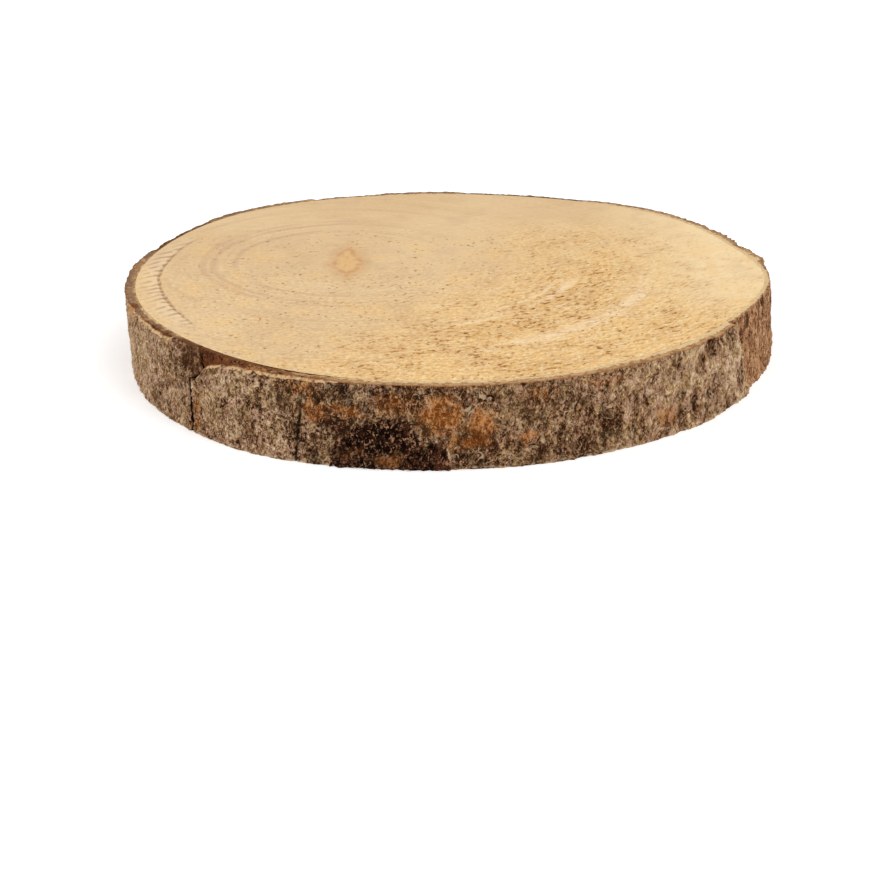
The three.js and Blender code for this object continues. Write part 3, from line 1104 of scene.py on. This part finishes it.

# %% [markdown]
# The finish of the bark is mixed by lightness: pale crust on the knobs, brown between them and nearly
# black in the furrows, which is partly the bark's own colour and partly painted shade. One wire holds
# that lightness: the relief of the mesh, which paints shade into the hollows and light onto the knobs,
# noise from a few millimetres down to fractions of one, and the tone of each side of the trunk. Where
# the bark is ridged the noise is drawn out up the trunk and swirled.

# %% Crust of the bark
BARK_BLACK = paint(42, 22, 9)
BARK_DARK = paint(86, 54, 30)
BARK_BROWN = paint(130, 95, 67)
BARK_PINK = paint(180, 141, 114)
BARK_TAN = paint(172, 137, 93)
BARK_PALE = paint(218, 190, 154)
BARK_OLIVE = paint(112, 88, 56)
LOOSE_FIBRES = ((11, 7.0), (19, 4.5))  # seed and pitch of each lot


def crust_lightness(place):
    """How light the bark is, from 0 in its furrows to 1 on its crust, with painted shade where its relief is
    low, and the noises in it.
    """
    ridged = attribute(place, "ridged")
    fine = cloud(place, (1, 1, 1.4), seed=8, detail=1, distortion=1.4) - 0.5
    crust = cloud(place, (3.2, 3.2, 3.8), seed=1, detail=3, roughness=0.7, distortion=0.5)
    crust = 0.6 * crust + 0.62 * fine + 0.2
    swirl = cloud(place, (4.2, 4.2, 6), seed=17, detail=3, roughness=0.62, distortion=2.4)
    swirl = 0.82 * swirl + 0.46 * fine + 0.09
    speck = crust + 0.8 * ridged * (swirl - crust)
    patch = cloud(place, (9, 9, 12), seed=2, detail=2)
    # the relief term paints shade into the hollows and light onto the knobs
    light = (0.3 + 0.15 * ridged) * attribute(place, "lift") + (4.0 - 0.6 * ridged) * (speck - 0.5)
    return light + 0.8 * (patch - 0.5) + attribute(place, "tone") + 0.53, crust, speck, patch


def bark_crust(place, light, patch):
    """The colour of whole bark, with its lichen and its loose fibres."""
    colour = light.rise(-0.05, 0.3).mix(BARK_BLACK, BARK_DARK)
    colour = light.rise(0.2, 0.5).mix(colour, BARK_BROWN)
    hue = cloud(place, 5, seed=23, detail=2).rise(0.42, 0.58).mix(BARK_PINK, BARK_TAN)
    colour = light.rise(0.46, 0.8).mix(colour, hue)
    colour = light.rise(0.85, 1.2).mix(colour, BARK_PALE)
    olive = cloud(place, 11, seed=9, detail=2).rise(0.5, 0.7)
    colour = (0.2 * olive).mix(colour, BARK_OLIVE)
    lichen = cloud(place, (1.5, 1.5, 1.7), seed=10, detail=2).rise(0.52, 0.66) * patch.rise(0.32, 0.6)
    colour = (0.75 * lichen * attribute(place, "lichen")).mix(colour, BARK_PALE)
    strands = [abs(cloud(place, pitch, seed=seed) - 0.5).rise(0.08 / pitch, 0.02 / pitch)
               for seed, pitch in LOOSE_FIBRES]
    loose = cloud(place, 4.5, seed=12, detail=1).rise(0.48, 0.6) * attribute(place, "fibres")
    hair = place.math("MAXIMUM", *strands) * loose
    return (0.75 * hair).mix(colour, BARK_PALE), hair


print(f"crust of the bark ready, with {len(LOOSE_FIBRES)} lots of loose fibres")

# %% [markdown]
# Patches lie over the crust. Rust is orange and soft at its edges. The burr is a black crust with a
# red tinge and pale glints, which are painted highlights. Inner bark is reddish and granular, with
# upright gaps near the cut that are painted in shade, and the broken edge of the outer bark shows as a
# pale lip.

# %% Patches of the bark
RUST_ORANGE = paint(197, 133, 77)
RUST_BROWN = paint(120, 64, 20)
FLAKE_BROWN = paint(104, 62, 38)
BURR_BLACK = paint(20, 5, 2)
BURR_BROWN = paint(112, 58, 34)
# colour of the painted highlights on the burr
BURR_PAINTED_GLINT = paint(186, 138, 104)
INNER_DARK = paint(94, 54, 28)
INNER_RED = paint(175, 127, 88)
INNER_PALE = paint(214, 169, 129)
# painted shade inside the gaps and hollows of the inner bark
INNER_GAP_SHADE = paint(60, 31, 16)
STRIP_RED = paint(122, 71, 41)
STRIP_TAN = paint(186, 130, 82)
TAN_FROM = (-86, -70)  # the places, from left to right, between which tan patches set in above the edge
LIP_PALE = paint(240, 198, 146)
CHIP_PALE = paint(214, 184, 150)
# painted shade inside the split and the thin crack
SPLIT_SHADE_BLACK = paint(30, 16, 9)


def rust_and_burr(place, colour, light):
    """The colour with the rusty patches and the burr on it, and the burr's glints, its painted highlights.
    """
    rust = attribute(place, "rust").rise(-0.35, 0.8)
    # rust follows the lightness, so it carries the painted shade of the hollows too
    rusty = light.rise(-0.05, 0.8).mix(RUST_BROWN, RUST_ORANGE)
    colour = (0.9 * rust).mix(colour, rusty)
    burr = attribute(place, "burr").rise(-0.9, 1.1)
    # the burr is drawn darker where its relief is low: painted shade in its hollows
    crust = (light + 0.3 * attribute(place, "lift")).rise(0.2, 1.4).mix(BURR_BLACK, BURR_BROWN)
    # painted highlights: pale glints scattered over the burr's crust
    painted_glints = cloud(place, (1.1, 1.1, 1.5), seed=4, detail=2, distortion=0.8).rise(0.53, 0.62)
    painted_glints = painted_glints * (0.3 + 0.7 * cloud(place, 4, seed=21).rise(0.32, 0.54)) * burr
    crust = (0.9 * painted_glints).mix(crust, BURR_PAINTED_GLINT)
    return (0.97 * burr * (1 - 0.8 * rust)).mix(colour, crust), burr, painted_glints


def inner_bark(place, colour, crust, height):
    """The colour with the inner bark on it where the outer bark is gone, with painted shade in its low
    shreds and gaps, and the mask of that.
    """
    strand = cloud(place, (1.2, 1.2, 4), seed=5, detail=2)
    # darker where the shreds lie low: partly their own colour, partly painted shade from the relief
    torn = 0.3 * attribute(place, "lift") + 0.6 * (strand - 0.5) + 5.5 * (crust - 0.5)
    red = torn.rise(-0.7, 0.1).mix(INNER_DARK, INNER_RED)
    red = torn.rise(0.1, 0.8).mix(red, INNER_PALE)
    above, bare = attribute(place, "above"), attribute(place, "bare")
    tan = cloud(place, 4, seed=25).rise(0.36, 0.56) * place.part("X").rise(*TAN_FROM)
    # painted shade: the strip turns to the gap colour where its shreds lie low
    strip = torn.rise(-0.8, 0.4).mix(INNER_GAP_SHADE, tan.mix(STRIP_RED, STRIP_TAN))
    red = above.rise(0.3, 0.9).mix(red, strip)
    # painted shade in the upright gaps near the cut
    gap_shade = cloud(place, (1.5, 1.5, 9), seed=22, detail=1).rise(0.51, 0.62) * height.rise(8, 25)
    red = (0.85 * gap_shade * bare.rise(0.5, 2.5)).mix(red, INNER_GAP_SHADE)
    inner = place.math("MAXIMUM", above.rise(0, 0.3), bare.rise(-0.1, 0.3))
    colour = inner.mix(colour, red)
    colour = (0.3 * attribute(place, "flaked")).mix(colour, FLAKE_BROWN)
    lip = place.math("MAXIMUM", abs(above - 0.1).rise(0.6, 0.2), 0.8 * abs(bare + 0.2).rise(0.7, 0.2))
    return (0.9 * lip * cloud(place, 1.8, seed=14).rise(0.25, 0.5)).mix(colour, LIP_PALE), inner


print("rust, burr and inner bark ready")

# %% [markdown]
# The sawn rims come last. Next to the wood the bark is as pale as the wood itself, then tan with brown
# flecks, and brown towards the outside, where the weather has turned it grey on the left and the back.
# A thin broken line marks where the pale part ends. With the rims, the painted black shade of the cracks
# and pale chips along the foot the finish is complete.

# %% Finish the bark
RIM_CREAM = paint(245, 211, 160)
RIM_TAN = paint(213, 169, 119)
RIM_BROWN = paint(172, 119, 78)
RIM_FLECK = paint(158, 106, 62)
RIM_GREY = paint(142, 110, 86)
RIM_RED = paint(114, 68, 38)


def sawn_rim(place, speck, patch):
    """The colour of the bark where the saw cut it."""
    across = attribute(place, "across") + 0.7 * (cloud(place, 2.0, seed=6, detail=2) - 0.5)
    rim = across.rise(-0.15, 0.1).mix(RIM_CREAM, RIM_TAN)
    rim = across.rise(0.55, 0.95).mix(rim, RIM_BROWN)
    flecks = cloud(place, (2, 2, 1), seed=18, detail=2).rise(0.5, 0.6)
    rim = (0.7 * flecks * across.rise(-0.9, 0)).mix(rim, RIM_FLECK)
    grey = attribute(place, "weathered") * across.rise(-0.1, 0.3) * (speck + patch).rise(0.75, 1.1)
    rim = (0.95 * grey).mix(rim, RIM_GREY)
    rim = (0.9 * attribute(place, "above").rise(0.9, 1.7)).mix(rim, RIM_RED)
    rim = (0.9 * attribute(place, "flaked")).mix(rim, FLAKE_BROWN)
    rim = (0.7 * attribute(place, "rust").rise(0, 0.7)).mix(rim, RUST_BROWN)
    seam = abs(across).rise(0.2, 0.05) * cloud(place, 3, seed=16, detail=1).rise(0.4, 0.56)
    return (0.7 * seam).mix(rim, RIM_BROWN)


def bark_finish():
    """The whole finish of the bark."""
    material, place = new_material("trunk_bark")
    height = place.part("Z")
    light, crust, speck, patch = crust_lightness(place)
    colour, hair = bark_crust(place, light, patch)
    colour, inner = inner_bark(place, colour, crust, height)
    colour, burr, painted_glints = rust_and_burr(place, colour, light)
    chips = height.rise(1.6, 0.3) * cloud(place, (4, 4, 2), seed=15, detail=2).rise(0.52, 0.62)
    colour = (0.75 * chips * (1 - burr)).mix(colour, CHIP_PALE)
    # painted shade: black along the split and the thin crack
    colour = attribute(place, "crack").rise(0.4, 0.1).mix(colour, SPLIT_SHADE_BLACK)
    colour = attribute(place, "sawn").rise(0.5, 0.95).mix(colour, sawn_rim(place, speck, patch))
    relief = 1.8 * speck + 0.3 * inner * crust + 0.1 * hair + 0.4 * painted_glints
    close_material(material, colour, 0.85 + 0.1 * speck, relief, shine=0.05)
    return material


finish_piece(bark, "trunk_bark", "bark", bark_finish())

# %% Compare the sizes
visual_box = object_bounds()
sizes = {"cad": [list(corner) for corner in cad_box], "visual": [list(corner) for corner in visual_box]}
print({name: [round((b - a) / MM, 1) for a, b in zip(*box)] for name, box in sizes.items()})
